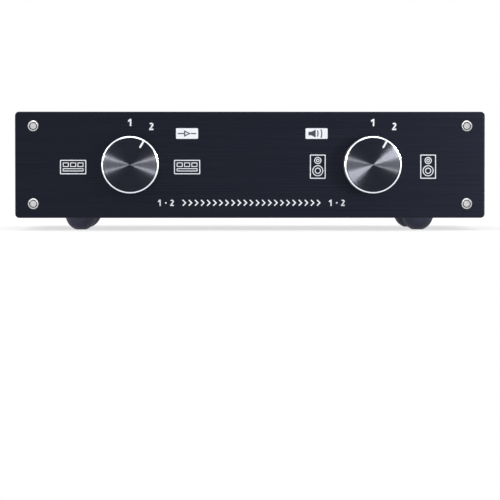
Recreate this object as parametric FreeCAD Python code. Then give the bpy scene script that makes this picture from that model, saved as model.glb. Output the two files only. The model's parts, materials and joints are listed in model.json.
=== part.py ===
"""Amplifier and speaker selector box: two rotary dials in front, sixteen screw-cap binding posts behind.

Millimetres, +Z up. The dials face -Y and the binding posts face +Y. The origin is on the surface that the
feet stand on, in the middle of the whole box in X and Y.
"""

import FreeCAD, Part
import math
import os

Vec = FreeCAD.Vector

# ---- case ----
CASE_WIDTH = 227.2
CASE_HEIGHT = 48.6
RAIL_LENGTH = 100.0

# ---- front panel ----
FRONT_THICKNESS = 4.0
FRONT_SIDE_OVERHANG = 1.4
FRONT_TOP_OVERHANG = 1.7
FRONT_CORNER_RADIUS = 2.0
FRONT_EDGE_CHAMFER = 0.4

# ---- side rails, one extruded profile ----
RAIL_WALL = 3.3
LIP_THICKNESS = 0.8
LIP_REACH = 2.2
LEDGE_THICKNESS = 1.0
LEDGE_REACH = 3.0
CHANNEL_SIDE_INSET = 7.45
CHANNEL_TOP_INSET = 5.2
CHANNEL_RADIUS = 3.2
CHANNEL_WEB = 2.4
CHANNEL_SLOT = 1.4

# ---- covers and rear panel ----
COVER_THICKNESS = 1.6
REAR_THICKNESS = 2.0
SLIDE_CLEARANCE = 0.1
PANEL_CLEARANCE = 0.15

# ---- screws that hold both panels to the rails ----
SCREW_RADIUS = 1.5
SCREW_REACH = 8.0
SCREW_HOLE_CLEARANCE = 0.2
THREAD_CLEARANCE = 0.03
FRONT_HEAD_RADIUS = 2.85
FRONT_HEAD_HEIGHT = 1.7
FRONT_SOCKET_ACROSS_FLATS = 2.0
FRONT_SOCKET_DEPTH = 1.1
REAR_HEAD_RADIUS = 3.0
REAR_HEAD_HEIGHT = 2.0
REAR_RECESS_LENGTH = 3.4
REAR_RECESS_WIDTH = 0.8
REAR_RECESS_DEPTH = 1.1
HEAD_CHAMFER = 0.6
HEAD_SIDES = 12
THREAD_SIDES = 6

# ---- feet ----
FOOT_RADIUS = 7.9
FOOT_HEIGHT = 7.8
FOOT_FLAT_RADIUS = 2.6
FOOT_SIDE_INSET = 29.9
FOOT_SETBACK = 19.0
FOOT_SIDES = 16
FOOT_BANDS = 3

# ---- dials ----
AMP_DIAL_INSET = 55.2
SPEAKER_DIAL_INSET = 54.3
DIAL_STEP_DEG = 30.0
KNOB_RADIUS = 13.8
KNOB_LENGTH = 15.5
KNOB_GAP = 0.8
KNOB_RING = 0.8
KNOB_RECESS_RADIUS = 8.5
KNOB_RECESS_DEPTH = 5.0
KNOB_FACE_THICKNESS = 3.5
POINTER_WIDTH = 0.9
POINTER_INNER_RADIUS = 9.4
POINTER_RING_GAP = 0.2
POINTER_DEPTH = 0.3
GRUB_RADIUS = 1.5
GRUB_LENGTH = 8.0
GRUB_HEIGHT = 8.5

# ---- rotary switches ----
SHAFT_RADIUS = 3.0
SHAFT_FLAT = 0.5
SHAFT_END_GAP = 0.4
RUNNING_CLEARANCE = 0.05
BUSHING_RADIUS = 4.5
BUSHING_REACH = 3.6
BUSHING_SIDES = 12
BUSHING_HOLE_CLEARANCE = 0.15
SWITCH_PLATE = 28.0
SWITCH_PLATE_THICKNESS = 2.0
SWITCH_PLATE_CHAMFER = 5.0
SWITCH_PLATE_RIM = 0.5
SWITCH_BODY_LENGTH = 20.0
SWITCH_BACK_WALL = 3.0
SWITCH_SIDE_WALL = 2.5
SWITCH_CAVITY_SIDES = 12
SWITCH_NUT_ACROSS_FLATS = 12.0
SWITCH_NUT_THICKNESS = 2.2
WASHER_WIDTH = 13.0
WASHER_THICKNESS = 0.6
WASHER_CHAMFER = 3.0
STAR_GAP = 1.6
STAR_NOTCH_DEPTH = 1.2
STAR_POINTS = 12
STAR_THICKNESS = 4.0
DRUM_STEP = 1.8
DRUM_LENGTH = 9.0
DRUM_SIDES = 8
ROTOR_GAP = 0.4
TERMINAL_COUNT = 6
TERMINAL_PITCH = 3.4
TERMINAL_WIDTH = 1.6
TERMINAL_THICKNESS = 0.8
TERMINAL_LENGTH = 5.0
TERMINAL_INSET = 5.0

# ---- binding posts ----
POST_SIDE_INSET = 22.25
POST_ROW_PITCH = 23.0
CAP_SIDES = 10
CAP_SKIRT_RADIUS = 7.5
CAP_SHOULDER_RADIUS = 6.7
CAP_FACE_RADIUS = 6.0
CAP_LENGTH = 15.0
CAP_SKIRT_HEIGHT = 5.2
CAP_SHOULDER_HEIGHT = 6.6
CAP_SEAT_GAP = 0.3
SLEEVE_SIDES = 6
SLEEVE_RADIUS = 4.45
SLEEVE_INSET = 0.3
CORE_SIDES = 8
CORE_RADIUS = 3.0
CORE_STAND_OUT = 0.8
BANANA_BORE_RADIUS = 2.0
BANANA_BORE_DEPTH = 12.8
WIRE_HOLE_RADIUS = 1.1
WIRE_HOLE_HEIGHT = 1.7
WIRE_HOLE_SIDES = 6
TAIL_RADIUS = 2.0
TAIL_END = 2.0
BASE_RADIUS = 8.1
BASE_THICKNESS = 4.0
BOSS_RADIUS = 4.4
BOSS_STAND_OUT = 1.0
BOSS_SIDES = 6
POST_CLEARANCE = 0.08
POST_NUT_ACROSS_FLATS = 7.0
POST_NUT_THICKNESS = 3.2

# ---- terminal board and ribbons ----
BOARD_END_MARGIN = 10.65
BOARD_TOP_MARGIN = 6.0
BOARD_THICKNESS = 1.6
RIBBON_THICKNESS = 1.2
RIBBON_MARGIN = 0.6
RIBBON_SLOPE_RUN = 16.0
RIBBON_LANDING_HEIGHT = 3.4

# ---- places that follow from the sizes ----
KNOB_REACH = KNOB_GAP + KNOB_LENGTH
CASE_DEPTH = FRONT_THICKNESS + RAIL_LENGTH
CAP_START = BASE_THICKNESS + CAP_SEAT_GAP
POST_REACH = CAP_START + CAP_LENGTH + CORE_STAND_OUT
FRONT_FACE_Y = KNOB_REACH - (KNOB_REACH + CASE_DEPTH + POST_REACH) / 2
RAIL_FRONT_Y = FRONT_FACE_Y + FRONT_THICKNESS
REAR_FACE_Y = FRONT_FACE_Y + CASE_DEPTH
REAR_INNER_Y = REAR_FACE_Y - REAR_THICKNESS
CASE_BOTTOM_Z = FOOT_HEIGHT
CASE_TOP_Z = CASE_BOTTOM_Z + CASE_HEIGHT
CASE_MID_Z = CASE_BOTTOM_Z + CASE_HEIGHT / 2
HALF_WIDTH = CASE_WIDTH / 2
CHANNEL_X = HALF_WIDTH - CHANNEL_SIDE_INSET
CHANNEL_RISE = CASE_HEIGHT / 2 - CHANNEL_TOP_INSET
FOOT_X = HALF_WIDTH - FOOT_SIDE_INSET
BOARD_OUTER_Y = REAR_INNER_Y - BOSS_STAND_OUT
BOARD_INNER_Y = BOARD_OUTER_Y - BOARD_THICKNESS
SWITCH_BODY_Y = RAIL_FRONT_Y + SWITCH_PLATE_THICKNESS
SWITCH_BACK_Y = SWITCH_BODY_Y + SWITCH_BODY_LENGTH
SWITCH_BODY = SWITCH_PLATE - 2 * SWITCH_PLATE_RIM
SWITCH_CAVITY_RADIUS = SWITCH_BODY / 2 - SWITCH_SIDE_WALL
STAR_RADIUS = SWITCH_CAVITY_RADIUS - STAR_GAP
DRUM_RADIUS = STAR_RADIUS - DRUM_STEP
TERMINAL_ROW_HEIGHT = SWITCH_BODY / 2 - TERMINAL_INSET
KNOB_BACK_Y = FRONT_FACE_Y - KNOB_GAP
DIALS = {"amp": AMP_DIAL_INSET - HALF_WIDTH, "speaker": HALF_WIDTH - SPEAKER_DIAL_INSET}
GROUPS = ("amp1", "amp2", "speaker1", "speaker2")
POST_COLUMNS = 2 * len(GROUPS)
POST_SPAN = CASE_WIDTH - 2 * POST_SIDE_INSET
POST_COLUMN_PITCH = POST_SPAN / (POST_COLUMNS - 1)


# ---- solid builders ----
def box(x0, x1, y0, y1, z0, z1):
    return Part.makeBox(x1 - x0, y1 - y0, z1 - z0, Vec(x0, y0, z0))


def bar(radius, x, y0, y1, z):
    """A round bar along Y."""
    return Part.makeCylinder(radius, y1 - y0, Vec(x, y0, z), Vec(0, 1, 0))


def prism(points, y0, y1):
    """A polygon of (x, z) points, drawn out along Y."""
    wire = Part.makePolygon([Vec(x, y0, z) for x, z in points + points[:1]])
    return Part.Face(wire).extrude(Vec(0, y1 - y0, 0))


def polygon(sides, radius, x, z):
    """Corner points of a regular polygon about (x, z)."""
    angles = [2.0 * math.pi * (k + 0.5) / sides for k in range(sides)]
    return [(x + radius * math.cos(a), z + radius * math.sin(a)) for a in angles]


def rod(sides, radius, x, z, y0, y1):
    """A many-sided rod along Y, of the given corner radius."""
    return prism(polygon(sides, radius, x, z), y0, y1)


def hexagon(across_flats, x, z):
    return polygon(6, across_flats / math.sqrt(3.0), x, z)


def turned(profile, x, y, z):
    """A closed profile of (height along +Y, radius) points turned about the line through (x, z)."""
    points = [Vec(x + radius, y + height, z) for height, radius in profile]
    face = Part.Face(Part.makePolygon(points + points[:1]))
    return face.revolve(Vec(x, y, z), Vec(0, 1, 0), 360)


def faceted(profile, sides, x, y, z, direction=(0, 1, 0)):
    """Like turned, with flat sides: each profile point runs round a regular polygon."""
    axis = Vec(*direction)
    across = Vec(1, 0, 0)
    up = across.cross(axis)
    centre = Vec(x, y, z)

    def corner(point, k):
        height, radius = point
        angle = 2.0 * math.pi * (k + 0.5) / sides
        return centre + axis * height + (across * math.cos(angle) + up * math.sin(angle)) * radius

    faces = []
    for start, end in zip(profile, profile[1:] + profile[:1]):
        for k in range(sides):
            ring = [corner(start, k), corner(start, k + 1), corner(end, k + 1), corner(end, k)]
            corners = [p for i, p in enumerate(ring) if p.distanceToPoint(ring[i - 1]) > 1e-7]
            if len(corners) > 2:
                faces.append(Part.Face(Part.makePolygon(corners + corners[:1])))
    solid = Part.makeSolid(Part.makeShell(faces)).removeSplitter()
    if solid.Volume < 0:
        solid.reverse()
    return solid


def chamfered_square(width, chamfer, x, z):
    """Corner points of a square with its corners cut off."""
    half = width / 2
    cut = half - chamfer
    corners = [(half, cut), (cut, half), (-cut, half), (-half, cut)]
    corners += [(-a, -b) for a, b in corners]
    return [(x + a, z + b) for a, b in corners]


def grown(radius, sides, clearance):
    """The corner radius of a polygon whose flats clear those of the given one."""
    return radius + clearance / math.cos(math.pi / sides)


def save(node, *solids):
    shape = solids[0] if len(solids) == 1 else Part.makeCompound(solids)
    shape.exportStep("parts/" + node + ".step")


def mirrored(shape):
    return shape.mirror(Vec(0, 0, 0), Vec(1, 0, 0))


def screw_places():
    return [(side * CHANNEL_X, CASE_MID_Z + rise * CHANNEL_RISE) for rise in (1, -1) for side in (-1, 1)]


def post_places():
    """Each binding post's name and axis (x, z), column by column from +X to -X."""
    columns = [(group, channel) for group in GROUPS for channel in ("left", "right")]
    places = []
    for index, (group, channel) in enumerate(columns):
        x = POST_SPAN / 2 - index * POST_COLUMN_PITCH
        for row, way in (("upper", 1), ("lower", -1)):
            z = CASE_MID_Z + way * POST_ROW_PITCH / 2
            places.append(("_".join((group, channel, row)), x, z))
    return places


# ---- case ----
def front_panel():
    half = HALF_WIDTH + FRONT_SIDE_OVERHANG
    low = CASE_BOTTOM_Z - FRONT_TOP_OVERHANG
    high = CASE_TOP_Z + FRONT_TOP_OVERHANG
    panel = box(-half, half, FRONT_FACE_Y, RAIL_FRONT_Y, low, high)
    upright = [e for e in panel.Edges if abs(e.tangentAt(e.FirstParameter).y) > 0.9]
    panel = panel.makeFillet(FRONT_CORNER_RADIUS, upright)
    rim = [e for e in panel.Edges if all(abs(v.Y - FRONT_FACE_Y) < 1e-4 for v in e.Vertexes)]
    panel = panel.makeChamfer(FRONT_EDGE_CHAMFER, rim)
    span = (FRONT_FACE_Y, RAIL_FRONT_Y)
    screw_hole = grown(SCREW_RADIUS, THREAD_SIDES, SCREW_HOLE_CLEARANCE)
    bushing_hole = grown(BUSHING_RADIUS, BUSHING_SIDES, BUSHING_HOLE_CLEARANCE)
    holes = [rod(THREAD_SIDES, screw_hole, x, z, *span) for x, z in screw_places()]
    holes += [rod(BUSHING_SIDES, bushing_hole, x, CASE_MID_Z, *span) for x in DIALS.values()]
    return panel.cut(holes)


def side_rail():
    """The +X rail: a wall with a groove for each cover and a slotted channel for each screw."""
    inner_x = HALF_WIDTH - RAIL_WALL
    rear = REAR_FACE_Y
    rail = box(inner_x, HALF_WIDTH, RAIL_FRONT_Y, rear, CASE_BOTTOM_Z, CASE_TOP_Z)
    half = CASE_HEIGHT / 2
    extras = []
    bores = []
    for way in (1, -1):

        def slab(reach, near, far):
            levels = sorted((CASE_MID_Z + way * near, CASE_MID_Z + way * far))
            return box(inner_x - reach, inner_x, RAIL_FRONT_Y, rear, levels[0], levels[1])

        cover_face = half - COVER_THICKNESS
        extras.append(slab(LIP_REACH, half - LIP_THICKNESS, half))
        extras.append(slab(LEDGE_REACH, cover_face - LEDGE_THICKNESS, cover_face))
        channel_z = CASE_MID_Z + way * CHANNEL_RISE
        extras.append(rod(HEAD_SIDES, CHANNEL_RADIUS, CHANNEL_X, channel_z, RAIL_FRONT_Y, rear))
        web_z = channel_z - CHANNEL_WEB / 2
        extras.append(box(CHANNEL_X, inner_x, RAIL_FRONT_Y, rear, web_z, web_z + CHANNEL_WEB))
        bore = grown(SCREW_RADIUS, THREAD_SIDES, THREAD_CLEARANCE)
        bores.append(rod(THREAD_SIDES, bore, CHANNEL_X, channel_z, RAIL_FRONT_Y, rear))
        slot_z = channel_z - CHANNEL_SLOT / 2
        bores.append(box(0, CHANNEL_X, RAIL_FRONT_Y, rear, slot_z, slot_z + CHANNEL_SLOT))
    seat_z = (CASE_BOTTOM_Z + COVER_THICKNESS, CASE_TOP_Z - COVER_THICKNESS)
    panel_seat = box(0, inner_x, REAR_INNER_Y, rear, *seat_z)
    return rail.fuse(extras).cut(bores).cut(panel_seat).removeSplitter()


def cover(outer_z, inward):
    """A flat cover flush with the rails, with a thin tongue along each side in the rails' grooves."""
    tongue_x = HALF_WIDTH - RAIL_WALL - SLIDE_CLEARANCE
    plate_x = HALF_WIDTH - RAIL_WALL - LIP_REACH - SLIDE_CLEARANCE
    inner_z = outer_z + inward * COVER_THICKNESS
    tongue_z = outer_z + inward * (LIP_THICKNESS + SLIDE_CLEARANCE)
    half = [(tongue_x, inner_z), (tongue_x, tongue_z), (plate_x, tongue_z), (plate_x, outer_z)]
    outline = half + [(-x, z) for x, z in reversed(half)]
    return prism(outline, RAIL_FRONT_Y, REAR_FACE_Y)


def rear_panel():
    half = HALF_WIDTH - RAIL_WALL - PANEL_CLEARANCE
    low = CASE_BOTTOM_Z + COVER_THICKNESS + SLIDE_CLEARANCE
    high = CASE_TOP_Z - COVER_THICKNESS - SLIDE_CLEARANCE
    panel = box(-half, half, REAR_INNER_Y, REAR_FACE_Y, low, high)
    screw_hole = grown(SCREW_RADIUS, THREAD_SIDES, SCREW_HOLE_CLEARANCE)
    boss_hole = grown(BOSS_RADIUS, BOSS_SIDES, POST_CLEARANCE)
    cuts = [rod(THREAD_SIDES, screw_hole, x, z, REAR_INNER_Y, REAR_FACE_Y) for x, z in screw_places()]
    cuts += [rod(BOSS_SIDES, boss_hole, x, z, REAR_INNER_Y, REAR_FACE_Y) for _, x, z in post_places()]
    return panel.cut(cuts)


def front_screw(x, z):
    """A silver button-head screw with a hexagon socket."""
    top = -FRONT_HEAD_HEIGHT
    rim = FRONT_HEAD_RADIUS
    profile = [(top, 0), (top, rim - HEAD_CHAMFER), (top + HEAD_CHAMFER, rim), (0, rim), (0, 0)]
    head = faceted(profile, HEAD_SIDES, x, FRONT_FACE_Y, z)
    shank = rod(THREAD_SIDES, SCREW_RADIUS, x, z, FRONT_FACE_Y, RAIL_FRONT_Y + SCREW_REACH)
    socket_y = FRONT_FACE_Y + top
    socket = prism(hexagon(FRONT_SOCKET_ACROSS_FLATS, x, z), socket_y, socket_y + FRONT_SOCKET_DEPTH)
    return head.fuse(shank).cut(socket)


def rear_screw(x, z):
    """A black pan-head screw with a cross recess."""
    top = REAR_HEAD_HEIGHT
    rim = REAR_HEAD_RADIUS
    profile = [(0, 0), (0, rim), (top - HEAD_CHAMFER, rim), (top, rim - HEAD_CHAMFER), (top, 0)]
    head = faceted(profile, HEAD_SIDES, x, REAR_FACE_Y, z)
    shank = rod(THREAD_SIDES, SCREW_RADIUS, x, z, REAR_INNER_Y - SCREW_REACH, REAR_FACE_Y)
    half_length = REAR_RECESS_LENGTH / 2
    half_width = REAR_RECESS_WIDTH / 2
    face = REAR_FACE_Y + top
    floor = face - REAR_RECESS_DEPTH
    level = box(x - half_length, x + half_length, floor, face, z - half_width, z + half_width)
    upright = box(x - half_width, x + half_width, floor, face, z - half_length, z + half_length)
    return head.fuse(shank).cut(level.fuse(upright))


def foot(x, y):
    """A rubber dome with a small flat to stand on."""
    squash = FOOT_HEIGHT / math.sqrt(1.0 - (FOOT_FLAT_RADIUS / FOOT_RADIUS) ** 2)
    last = math.acos(FOOT_FLAT_RADIUS / FOOT_RADIUS)
    profile = [(0.0, 0.0)]
    for k in range(FOOT_BANDS + 1):
        angle = last * k / FOOT_BANDS
        profile.append((-squash * math.sin(angle), FOOT_RADIUS * math.cos(angle)))
    profile.append((-FOOT_HEIGHT, 0.0))
    return faceted(profile, FOOT_SIDES, x, y, CASE_BOTTOM_Z, (0, 0, 1))


# ---- dials and their switches ----
def turned_to_rest(shape, x):
    """Turns a dial's piece from position 1, straight up, to position 2, clockwise seen from the front."""
    shape.rotate(Vec(x, 0, CASE_MID_Z), Vec(0, 1, 0), DIAL_STEP_DEG)
    return shape


def knob(x):
    """A turned knob with a bright chamfered ring, a milled pointer, and a recess behind for the nut."""
    back = KNOB_BACK_Y
    face = back - KNOB_LENGTH
    ring_radius = KNOB_RADIUS - KNOB_RING
    profile = [(0, 0), (0, KNOB_RADIUS), (KNOB_RING - KNOB_LENGTH, KNOB_RADIUS), (-KNOB_LENGTH, ring_radius)]
    body = turned(profile + [(-KNOB_LENGTH, 0)], x, back, CASE_MID_Z)
    recess = rod(BUSHING_SIDES, KNOB_RECESS_RADIUS, x, CASE_MID_Z, back - KNOB_RECESS_DEPTH, back)
    bore = rod(DRUM_SIDES, shaft_hole(), x, CASE_MID_Z, face + KNOB_FACE_THICKNESS, back)
    half_width = POINTER_WIDTH / 2
    pointer_end = CASE_MID_Z + ring_radius - POINTER_RING_GAP
    pointer_start = CASE_MID_Z + POINTER_INNER_RADIUS
    pointer = box(x - half_width, x + half_width, face, face + POINTER_DEPTH, pointer_start, pointer_end)
    grub_radius = grown(GRUB_RADIUS, THREAD_SIDES, THREAD_CLEARANCE)
    profile = [(0, 0), (0, grub_radius), (KNOB_RADIUS, grub_radius), (KNOB_RADIUS, 0)]
    grub_hole = faceted(profile, THREAD_SIDES, x, back - GRUB_HEIGHT, CASE_MID_Z, (0, 0, -1))
    return turned_to_rest(body.cut([recess, bore, pointer, grub_hole]), x)


def shaft_hole():
    """Corner radius of a many-sided hole that the round shaft fills."""
    return (SHAFT_RADIUS + THREAD_CLEARANCE) / math.cos(math.pi / DRUM_SIDES)


def grub_screw(x):
    """A headless screw through the knob's side, tight on the shaft's flat."""
    tip = SHAFT_RADIUS - SHAFT_FLAT
    profile = [(tip, 0), (tip, GRUB_RADIUS), (tip + GRUB_LENGTH, GRUB_RADIUS), (tip + GRUB_LENGTH, 0)]
    screw = faceted(profile, THREAD_SIDES, x, KNOB_BACK_Y - GRUB_HEIGHT, CASE_MID_Z, (0, 0, -1))
    return turned_to_rest(screw, x)


def shaft(x):
    """The switch shaft, with a flat for the grub screw."""
    start = KNOB_BACK_Y - KNOB_LENGTH + KNOB_FACE_THICKNESS + SHAFT_END_GAP
    end = SWITCH_BACK_Y - SWITCH_BACK_WALL - ROTOR_GAP
    stock = bar(SHAFT_RADIUS, x, start, end, CASE_MID_Z)
    flat_top = CASE_MID_Z - SHAFT_RADIUS + SHAFT_FLAT
    flat_end = KNOB_BACK_Y - KNOB_RECESS_DEPTH
    flat = box(x - SHAFT_RADIUS, x + SHAFT_RADIUS, start, flat_end, CASE_MID_Z - SHAFT_RADIUS, flat_top)
    return turned_to_rest(stock.cut(flat), x)


def rotor(x):
    """The star wheel that gives the clicks, and the contact drum behind it, on the shaft."""
    start = SWITCH_BODY_Y + ROTOR_GAP
    middle = start + STAR_THICKNESS
    end = middle + DRUM_LENGTH
    outline = []
    for k in range(2 * STAR_POINTS):
        radius = STAR_RADIUS - STAR_NOTCH_DEPTH * (k % 2)
        angle = math.pi * k / STAR_POINTS
        outline.append((x + radius * math.cos(angle), CASE_MID_Z + radius * math.sin(angle)))
    star = prism(outline, start, middle)
    drum = rod(DRUM_SIDES, DRUM_RADIUS, x, CASE_MID_Z, middle, end)
    hole = rod(DRUM_SIDES, shaft_hole(), x, CASE_MID_Z, start, end)
    return turned_to_rest(star.fuse(drum).cut(hole), x)


def switch_frame(x):
    """The threaded bushing and the plate behind the front panel, cast in one."""
    front = FRONT_FACE_Y - BUSHING_REACH
    bushing = rod(BUSHING_SIDES, BUSHING_RADIUS, x, CASE_MID_Z, front, RAIL_FRONT_Y)
    corners = chamfered_square(SWITCH_PLATE, SWITCH_PLATE_CHAMFER, x, CASE_MID_Z)
    plate = prism(corners, RAIL_FRONT_Y, SWITCH_BODY_Y)
    return bushing.fuse(plate).cut(bar(SHAFT_RADIUS + RUNNING_CLEARANCE, x, front, SWITCH_BODY_Y, CASE_MID_Z))


def switch_body(x):
    """The moulded housing round the rotor."""
    corners = chamfered_square(SWITCH_BODY, SWITCH_PLATE_CHAMFER, x, CASE_MID_Z)
    housing = prism(corners, SWITCH_BODY_Y, SWITCH_BACK_Y)
    back = SWITCH_BACK_Y - SWITCH_BACK_WALL
    return housing.cut(rod(SWITCH_CAVITY_SIDES, SWITCH_CAVITY_RADIUS, x, CASE_MID_Z, SWITCH_BODY_Y, back))


def switch_terminals(x):
    """Two rows of solder lugs behind one switch."""
    lugs = []
    for way in (1, -1):
        z = CASE_MID_Z + way * TERMINAL_ROW_HEIGHT
        for k in range(TERMINAL_COUNT):
            lug_x = x + (k - (TERMINAL_COUNT - 1) / 2) * TERMINAL_PITCH
            span_x = (lug_x - TERMINAL_WIDTH / 2, lug_x + TERMINAL_WIDTH / 2)
            span_z = (z - TERMINAL_THICKNESS / 2, z + TERMINAL_THICKNESS / 2)
            lugs.append(box(*span_x, SWITCH_BACK_Y, SWITCH_BACK_Y + TERMINAL_LENGTH, *span_z))
    return lugs


def switch_washer(x):
    back = FRONT_FACE_Y - WASHER_THICKNESS
    hole = grown(BUSHING_RADIUS, BUSHING_SIDES, BUSHING_HOLE_CLEARANCE)
    plate = prism(chamfered_square(WASHER_WIDTH, WASHER_CHAMFER, x, CASE_MID_Z), back, FRONT_FACE_Y)
    return plate.cut(rod(BUSHING_SIDES, hole, x, CASE_MID_Z, back, FRONT_FACE_Y))


def switch_nut(x):
    near = FRONT_FACE_Y - WASHER_THICKNESS
    far = near - SWITCH_NUT_THICKNESS
    hole = grown(BUSHING_RADIUS, BUSHING_SIDES, THREAD_CLEARANCE)
    nut = prism(hexagon(SWITCH_NUT_ACROSS_FLATS, x, CASE_MID_Z), far, near)
    return nut.cut(rod(BUSHING_SIDES, hole, x, CASE_MID_Z, far, near))


# ---- binding posts ----
def post_base(x, z):
    """The clear flange that insulates a post, with a six-sided boss that keys it in the panel."""
    flange_end = REAR_FACE_Y + BASE_THICKNESS
    flange = rod(CAP_SIDES, BASE_RADIUS, x, z, REAR_FACE_Y, flange_end)
    boss = rod(BOSS_SIDES, BOSS_RADIUS, x, z, BOARD_OUTER_Y, REAR_FACE_Y)
    hole = grown(TAIL_RADIUS, THREAD_SIDES, POST_CLEARANCE)
    return flange.fuse(boss).cut(rod(THREAD_SIDES, hole, x, z, BOARD_OUTER_Y, flange_end))


def post_core(x, z):
    """The brass stud: a bored front part for a banana plug, and a thin tail through the base.

    A hole runs up through its foot for a bare wire, which the cap clamps against the base.
    """
    shoulder = REAR_FACE_Y + BASE_THICKNESS
    tip = REAR_FACE_Y + POST_REACH
    tail_end = BOARD_INNER_Y - POST_NUT_THICKNESS - TAIL_END
    stud = rod(CORE_SIDES, CORE_RADIUS, x, z, shoulder, tip)
    tail = rod(THREAD_SIDES, TAIL_RADIUS, x, z, tail_end, shoulder)
    plug_bore = bar(BANANA_BORE_RADIUS, x, tip - BANANA_BORE_DEPTH, tip, z)
    side = [(-CORE_RADIUS, WIRE_HOLE_RADIUS), (CORE_RADIUS, WIRE_HOLE_RADIUS)]
    profile = [(-CORE_RADIUS, 0), *side, (CORE_RADIUS, 0)]
    wire_hole = faceted(profile, WIRE_HOLE_SIDES, x, shoulder + WIRE_HOLE_HEIGHT, z, (0, 0, 1))
    return stud.fuse(tail).cut([plug_bore, wire_hole])


def post_cap(x, z):
    """The clear screw cap: a wide skirt with flats for the fingers, a shoulder, and a tapered nose.

    The flats of its bore clear the sleeve's corners in every position.
    """
    bore = (SLEEVE_RADIUS + RUNNING_CLEARANCE) / math.cos(math.pi / CAP_SIDES)
    profile = [
        (0, bore),
        (0, CAP_SKIRT_RADIUS),
        (CAP_SKIRT_HEIGHT, CAP_SKIRT_RADIUS),
        (CAP_SHOULDER_HEIGHT, CAP_SHOULDER_RADIUS),
        (CAP_LENGTH, CAP_FACE_RADIUS),
        (CAP_LENGTH, bore),
    ]
    return faceted(profile, CAP_SIDES, x, REAR_FACE_Y + CAP_START, z)


def post_sleeve(x, z):
    """The brass sleeve in the cap, which runs on the stud's thread."""
    hole = (CORE_RADIUS + RUNNING_CLEARANCE) / math.cos(math.pi / SLEEVE_SIDES)
    length = CAP_LENGTH - SLEEVE_INSET
    profile = [(0, hole), (0, SLEEVE_RADIUS), (length, SLEEVE_RADIUS), (length, hole)]
    return faceted(profile, SLEEVE_SIDES, x, REAR_FACE_Y + CAP_START, z)


def post_nut(x, z):
    start = BOARD_INNER_Y - POST_NUT_THICKNESS
    hole = grown(TAIL_RADIUS, THREAD_SIDES, THREAD_CLEARANCE)
    nut = prism(hexagon(POST_NUT_ACROSS_FLATS, x, z), start, BOARD_INNER_Y)
    return nut.cut(rod(THREAD_SIDES, hole, x, z, start, BOARD_INNER_Y))


# ---- board and ribbons ----
def terminal_board():
    """The circuit board behind the posts, clamped on the ends of their bosses."""
    half = POST_SPAN / 2 + BOARD_END_MARGIN
    half_height = POST_ROW_PITCH / 2 + BOARD_TOP_MARGIN
    board = box(-half, half, BOARD_INNER_Y, BOARD_OUTER_Y, CASE_MID_Z - half_height, CASE_MID_Z + half_height)
    hole = grown(TAIL_RADIUS, THREAD_SIDES, POST_CLEARANCE)
    span = (BOARD_INNER_Y, BOARD_OUTER_Y)
    return board.cut([rod(THREAD_SIDES, hole, x, z, *span) for _, x, z in post_places()])


def ribbon(x, way):
    """A flat cable from one row of lugs back to the board, with a slope between the two heights."""
    start = SWITCH_BACK_Y + TERMINAL_LENGTH
    middle = (start + BOARD_INNER_Y) / 2
    half_run = RIBBON_SLOPE_RUN / 2
    line = [
        (start, TERMINAL_ROW_HEIGHT),
        (middle - half_run, TERMINAL_ROW_HEIGHT),
        (middle + half_run, RIBBON_LANDING_HEIGHT),
        (BOARD_INNER_Y, RIBBON_LANDING_HEIGHT),
    ]
    half_thickness = RIBBON_THICKNESS / 2
    outline = [(y, height + half_thickness) for y, height in line]
    outline += [(y, height - half_thickness) for y, height in reversed(line)]
    half = ((TERMINAL_COUNT - 1) * TERMINAL_PITCH + TERMINAL_WIDTH) / 2 + RIBBON_MARGIN
    edge = [Vec(x - half, y, CASE_MID_Z + way * height) for y, height in outline]
    return Part.Face(Part.makePolygon(edge + edge[:1])).extrude(Vec(2 * half, 0, 0))


def main():
    os.makedirs("parts", exist_ok=True)
    screws = screw_places()
    posts = post_places()
    dials = DIALS.values()
    rail = side_rail()
    feet_y = (RAIL_FRONT_Y + FOOT_SETBACK, REAR_FACE_Y - FOOT_SETBACK)

    save("front_panel", front_panel())
    save("rear_panel", rear_panel())
    save("right_side_rail", rail)
    save("left_side_rail", mirrored(rail))
    save("top_cover", cover(CASE_TOP_Z, -1))
    save("bottom_cover", cover(CASE_BOTTOM_Z, 1))
    save("front_screws", *[front_screw(x, z) for x, z in screws])
    save("rear_screws", *[rear_screw(x, z) for x, z in screws])
    save("rubber_feet", *[foot(side * FOOT_X, y) for y in feet_y for side in (-1, 1)])

    for name, x in DIALS.items():
        save(name + "_knob", knob(x))
        save(name + "_grub_screw", grub_screw(x))
        save(name + "_switch_shaft", shaft(x))
        save(name + "_switch_rotor", rotor(x))
    save("switch_frames", *[switch_frame(x) for x in dials])
    save("switch_bodies", *[switch_body(x) for x in dials])
    save("switch_nuts", *[switch_nut(x) for x in dials])
    save("switch_washers", *[switch_washer(x) for x in dials])
    save("switch_terminals", *[lug for x in dials for lug in switch_terminals(x)])

    for name, x, z in posts:
        save("cap_" + name, post_cap(x, z))
        save("sleeve_" + name, post_sleeve(x, z))
    save("post_bases", *[post_base(x, z) for _, x, z in posts])
    save("post_cores", *[post_core(x, z) for _, x, z in posts])
    save("post_nuts", *[post_nut(x, z) for _, x, z in posts])
    save("terminal_board", terminal_board())
    save("wiring_ribbons", *[ribbon(x, way) for x in dials for way in (1, -1)])


main()
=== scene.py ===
"""Looks of the speaker selector switch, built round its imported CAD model, in metres in the CAD's frame."""

import json
import math

import bmesh
import bpy
from mathutils import Matrix, Vector

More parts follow.
